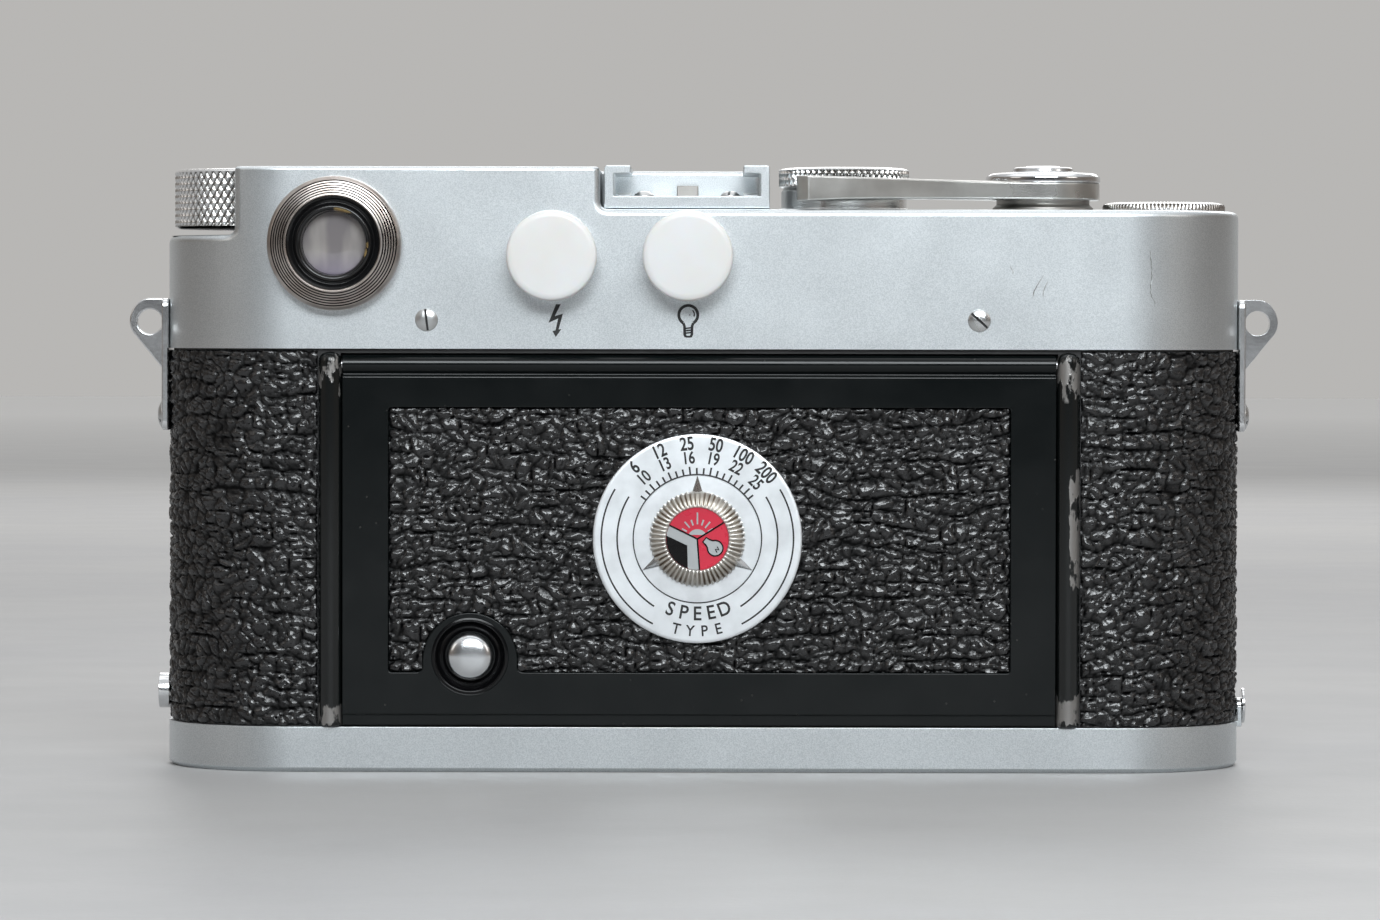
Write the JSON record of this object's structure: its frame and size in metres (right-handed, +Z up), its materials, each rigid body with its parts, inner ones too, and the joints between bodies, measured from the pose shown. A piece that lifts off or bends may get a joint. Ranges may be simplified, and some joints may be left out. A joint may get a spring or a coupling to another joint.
{
  "type": "rangefinder camera",
  "caption": "Metal film camera with leather-covered body, rangefinder housing, compact lens, hinged back door, removable base plate and working top controls.",
  "frame": {"origin": "middle of the base plate's underside", "axes": "+Z up, -Y out of the back with its door and eyepiece, +Y along the lens, +X to the viewer's right"},
  "size_m": [0.1478, 0.0717, 0.0772],
  "materials": {
    "satin_chrome": "satin",
    "polished_chrome": "polished",
    "black_paint": "gloss",
    "black_shell": "matte",
    "black_casting": "matte",
    "leather": "matte",
    "nickel": "satin",
    "bronze_ring": "satin",
    "steel": "satin",
    "brass": "satin",
    "aluminium_satin": "satin",
    "milk_plastic": "matte",
    "black_plastic": "matte",
    "clear_glass": "gloss",
    "frosted_glass": "matte",
    "lens_glass": "gloss",
    "red_enamel": "satin",
    "curtain_cloth": "matte"
  },
  "bodies": {
    "base_plate": {"base_plate": "satin_chrome", "tripod_bush": "brass"},
    "base_key": {"base_key": "polished_chrome"},
    "key_wing": {"key_wing": "polished_chrome"},
    "camera": {"body_shell": "black_shell", "inner_frame": "black_casting", "leather_left": "leather", "leather_right": "leather", "door_beads": "black_paint", "top_cover": "satin_chrome", "cover_screws": "polished_chrome", "strap_lug_left": "steel", "strap_lug_right": "steel", "lug_screws": "steel", "side_studs": "polished_chrome", "hinge_pin": "steel", "eyepiece_ring": "bronze_ring", "eyepiece_bezel": "black_plastic", "eyepiece_lens": "clear_glass", "flash_sockets": "nickel", "accessory_shoe": "satin_chrome", "shoe_screws": "polished_chrome", "shoe_spring": "steel", "finder_window": "clear_glass", "illumination_window": "frosted_glass", "rangefinder_window": "clear_glass", "finder_block": "clear_glass", "lens_mount": "polished_chrome", "mount_screws": "steel", "shutter_curtain": "curtain_cloth"},
    "door": {"back_door": "black_paint", "door_leather": "leather", "door_springs": "steel", "film_speed_disc": "aluminium_satin"},
    "pressure_plate": {"pressure_plate": "black_paint"},
    "film_dial": {"film_speed_ring": "nickel", "film_type_disc": "red_enamel"},
    "door_button": {"door_button": "polished_chrome"},
    "flash_cap_left": {"flash_cap_left": "milk_plastic"},
    "flash_cap_right": {"flash_cap_right": "milk_plastic"},
    "speed_dial": {"speed_dial": "nickel"},
    "advance_lever": {"advance_lever": "satin_chrome", "lever_hub": "polished_chrome"},
    "shutter_button": {"shutter_button": "polished_chrome"},
    "frame_counter": {"frame_counter": "satin_chrome"},
    "rewind_shaft": {"rewind_shaft": "steel"},
    "rewind_knob": {"rewind_knob": "nickel"},
    "lens_barrel": {"lens_barrel": "aluminium_satin"},
    "focus_ring": {"focus_ring": "aluminium_satin"},
    "lens_head": {"lens_head": "aluminium_satin", "lens_elements": "lens_glass"},
    "aperture_ring": {"aperture_ring": "aluminium_satin"},
    "lens_release_button": {"lens_release_button": "polished_chrome"},
    "frame_selector_lever": {"frame_selector_lever": "satin_chrome"},
    "self_timer_lever": {"self_timer_lever": "satin_chrome"},
    "rewind_release_lever": {"rewind_release_lever": "satin_chrome"},
    "wind_drum": {"wind_drum": "steel"},
    "spring_drum": {"spring_drum": "steel"},
    "sprocket_shaft": {"sprocket_shaft": "steel"},
    "take_up_spool": {"take_up_spool": "aluminium_satin"}
  },
  "joints": [
    {"name": "camera_lift", "type": "slide", "parent": "base_plate", "child": "camera", "axis": [0, 0, 1], "range_m": [0, 0.06]},
    {"name": "base_key_turn", "type": "hinge", "parent": "base_plate", "child": "base_key", "pos_m": [-0.0551, 0, 0.001], "axis": [0, 0, 1], "range_deg": [0, 180]},
    {"name": "key_wing_fold", "type": "hinge", "parent": "base_key", "child": "key_wing", "pos_m": [-0.0553, 0, 0.00075], "axis": [0, 1, 0], "range_deg": [0, 90]},
    {"name": "door_swing", "type": "hinge", "parent": "camera", "child": "door", "pos_m": [0, -0.0159, 0.0516], "axis": [-1, 0, 0], "range_deg": [0, 95]},
    {"name": "pressure_plate_travel", "type": "slide", "parent": "door", "child": "pressure_plate", "axis": [0, -1, 0], "range_m": [0, 0.0005], "stiffness_N_per_m": 200, "springref_m": -0.002},
    {"name": "film_dial_turn", "type": "hinge", "parent": "door", "child": "film_dial", "pos_m": [-0.0007, -0.0175, 0.02965], "axis": [0, 1, 0], "continuous": true},
    {"name": "door_button_press", "type": "slide", "parent": "door", "child": "door_button", "axis": [0, 1, 0], "range_m": [0, 0.0007], "stiffness_N_per_m": 150, "springref_m": -0.002},
    {"name": "flash_cap_left_pull", "type": "slide", "parent": "camera", "child": "flash_cap_left", "axis": [0, -1, 0], "range_m": [0, 0.01]},
    {"name": "flash_cap_right_pull", "type": "slide", "parent": "camera", "child": "flash_cap_right", "axis": [0, -1, 0], "range_m": [0, 0.01]},
    {"name": "speed_dial_turn", "type": "hinge", "parent": "camera", "child": "speed_dial", "pos_m": [0.0181, 0, 0.074], "axis": [0, 0, 1], "range_deg": [-30, 270]},
    {"name": "advance_swing", "type": "hinge", "parent": "camera", "child": "advance_lever", "pos_m": [0.0438, 0, 0.074], "axis": [0, 0, 1], "range_deg": [0, 150], "stiffness_Nm_per_rad": 0.002, "springref_deg": -11.46},
    {"name": "shutter_press", "type": "slide", "parent": "camera", "child": "shutter_button", "axis": [0, 0, -1], "range_m": [0, 0.0015], "stiffness_N_per_m": 300, "springref_m": -0.002},
    {"name": "frame_counter_turn", "type": "hinge", "parent": "camera", "child": "frame_counter", "pos_m": [0.0594, 0, 0.072], "axis": [0, 0, 1], "range_deg": [0, 360]},
    {"name": "rewind_spin", "type": "hinge", "parent": "camera", "child": "rewind_shaft", "pos_m": [-0.0551, 0, 0.068], "axis": [0, 0, 1], "continuous": true},
    {"name": "rewind_lift", "type": "slide", "parent": "rewind_shaft", "child": "rewind_knob", "axis": [0, 0, 1], "range_m": [0, 0.0045]},
    {"name": "lens_bayonet_turn", "type": "hinge", "parent": "camera", "child": "lens_barrel", "pos_m": [-0.0021, 0.018, 0.02925], "axis": [0, 1, 0], "range_deg": [0, 60]},
    {"name": "focus_turn", "type": "hinge", "parent": "lens_barrel", "child": "focus_ring", "pos_m": [-0.0021, 0.026, 0.02925], "axis": [0, 1, 0], "range_deg": [0, 160]},
    {"name": "focus_travel", "type": "slide", "parent": "lens_barrel", "child": "lens_head", "axis": [0, 1, 0], "range_m": [0, 0.0027]},
    {"name": "aperture_turn", "type": "hinge", "parent": "lens_head", "child": "aperture_ring", "pos_m": [-0.0021, 0.041, 0.02925], "axis": [0, 1, 0], "range_deg": [0, 90]},
    {"name": "lens_release_press", "type": "slide", "parent": "camera", "child": "lens_release_button", "axis": [0, -1, 0], "range_m": [0, 0.0015], "stiffness_N_per_m": 300, "springref_m": -0.001},
    {"name": "frame_selector_swing", "type": "hinge", "parent": "camera", "child": "frame_selector_lever", "pos_m": [-0.0315, 0.018, 0.038], "axis": [0, 1, 0], "range_deg": [-18, 18], "stiffness_Nm_per_rad": 0.004},
    {"name": "self_timer_swing", "type": "hinge", "parent": "camera", "child": "self_timer_lever", "pos_m": [0.038, 0.018, 0.0375], "axis": [0, -1, 0], "range_deg": [0, 100]},
    {"name": "rewind_release_swing", "type": "hinge", "parent": "camera", "child": "rewind_release_lever", "pos_m": [0.0285, 0.018, 0.046], "axis": [0, -1, 0], "range_deg": [0, 75]},
    {"name": "wind_drum_spin", "type": "hinge", "parent": "camera", "child": "wind_drum", "pos_m": [0.0245, -0.0018, 0.03], "axis": [0, 0, 1], "range_deg": [0, 440]},
    {"name": "spring_drum_spin", "type": "hinge", "parent": "camera", "child": "spring_drum", "pos_m": [-0.029, -0.0018, 0.03], "axis": [0, 0, 1], "range_deg": [0, 490]},
    {"name": "sprocket_spin", "type": "hinge", "parent": "camera", "child": "sprocket_shaft", "pos_m": [0.035, -0.0052, 0.03], "axis": [0, 0, 1], "range_deg": [0, 365]},
    {"name": "take_up_spin", "type": "hinge", "parent": "camera", "child": "take_up_spool", "pos_m": [0.05225, 0, 0.03], "axis": [0, 0, 1], "range_deg": [0, 395]}
  ],
  "couplings": [
    {"joint": "frame_counter_turn", "follows": "advance_swing", "ratio": 0.06},
    {"joint": "wind_drum_spin", "follows": "advance_swing", "ratio": 2.9},
    {"joint": "spring_drum_spin", "follows": "advance_swing", "ratio": 3.22},
    {"joint": "sprocket_spin", "follows": "advance_swing", "ratio": 2.4},
    {"joint": "take_up_spin", "follows": "advance_swing", "ratio": 2.6},
    {"joint": "focus_travel", "follows": "focus_turn", "m_per_rad": 0.00094}
  ]
}
